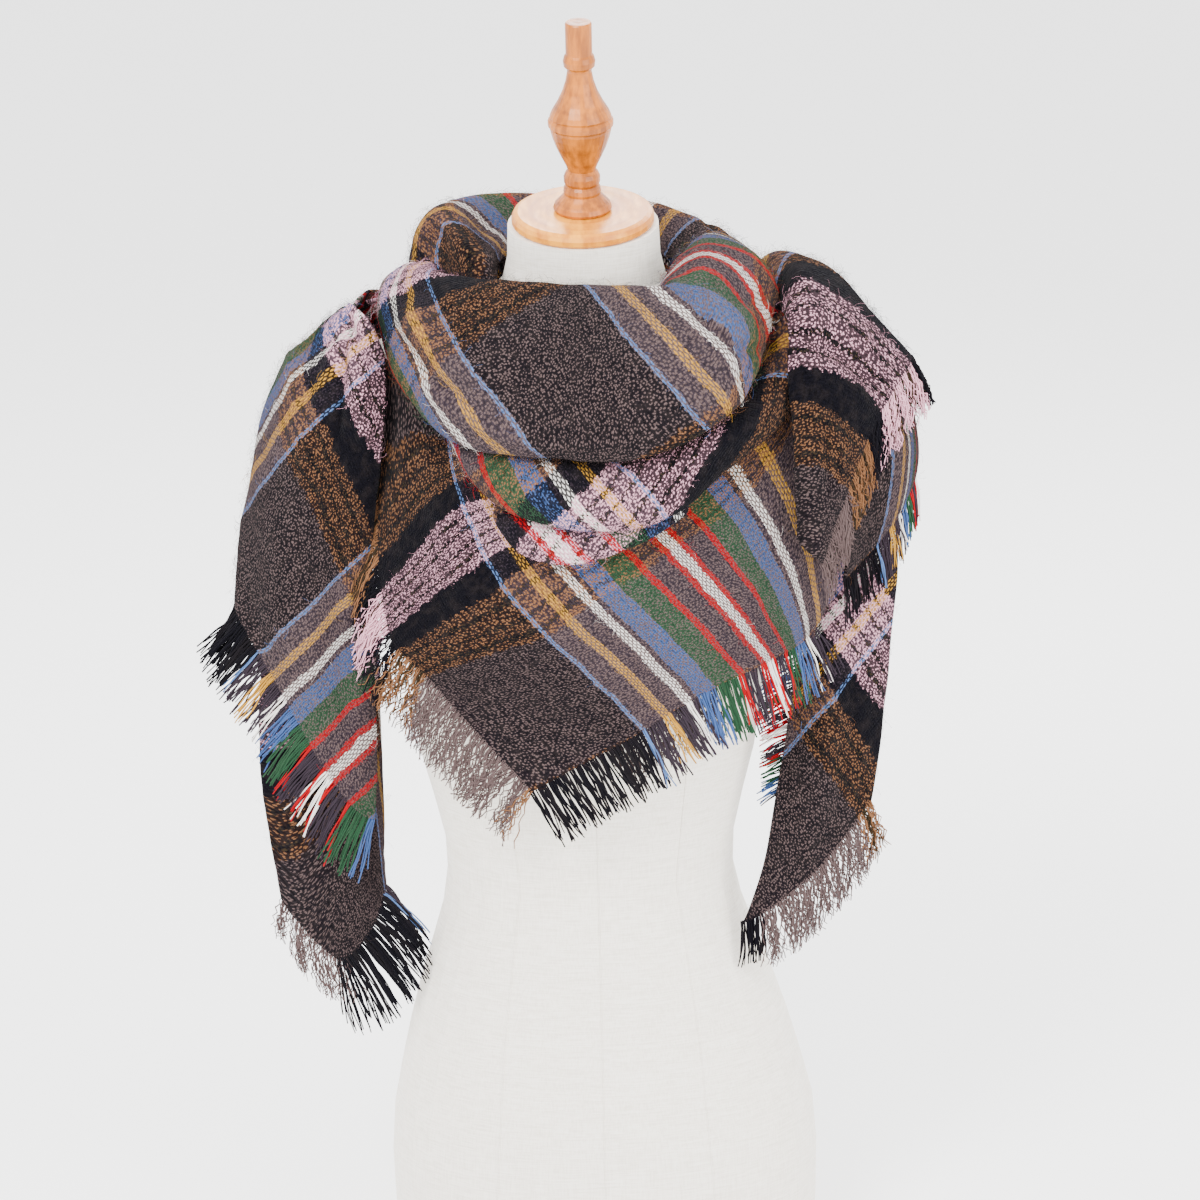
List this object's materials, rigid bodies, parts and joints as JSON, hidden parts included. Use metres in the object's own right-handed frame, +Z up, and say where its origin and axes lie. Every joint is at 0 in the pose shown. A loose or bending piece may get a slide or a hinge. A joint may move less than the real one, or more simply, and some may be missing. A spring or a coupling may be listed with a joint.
{
  "type": "plaid blanket scarf on a limbless dress form",
  "caption": "Brushed plaid blanket scarf with fringed edges, folded corner to corner and wound round the neck of a limbless linen dress form with a turned wooden neck cap.",
  "frame": {"origin": "centre of the dress form's flat underside, on the surface it stands on", "axes": "+Z up along the form; the form faces -Y; +X is to the right of a viewer who faces the front"},
  "size_m": [0.5372, 0.3287, 0.971],
  "materials": {
    "linen": "matt plain-weave linen, off-white",
    "maple": "clear satin varnish over honey-coloured maple",
    "plaid_cloth": "soft brushed plaid, charcoal and taupe ground with bright stripes",
    "fringe_yarn": "loose yarn ends in the colours of the stripes they come from"
  },
  "bodies": {
    "root": {"torso": "linen", "neck_plate": "maple", "finial": "maple", "cowl_top_fall": "plaid_cloth", "cowl_middle_fall": "plaid_cloth", "cowl_low_fall": "plaid_cloth", "front_point": "plaid_cloth", "under_point": "plaid_cloth", "neck_collar": "plaid_cloth", "back_drape": "plaid_cloth", "left_end": "plaid_cloth", "left_tail": "plaid_cloth", "right_end": "plaid_cloth", "right_middle": "plaid_cloth", "right_tail": "plaid_cloth", "right_under": "plaid_cloth", "front_weft_fringe": "fringe_yarn", "front_warp_fringe": "fringe_yarn", "under_fringe": "fringe_yarn", "left_end_fringe": "fringe_yarn", "left_tail_fringe": "fringe_yarn", "right_end_fringe": "fringe_yarn", "right_middle_fringe": "fringe_yarn", "right_tail_fringe": "fringe_yarn", "right_under_fringe": "fringe_yarn", "back_fringe": "fringe_yarn"}
  },
  "joints": []
}
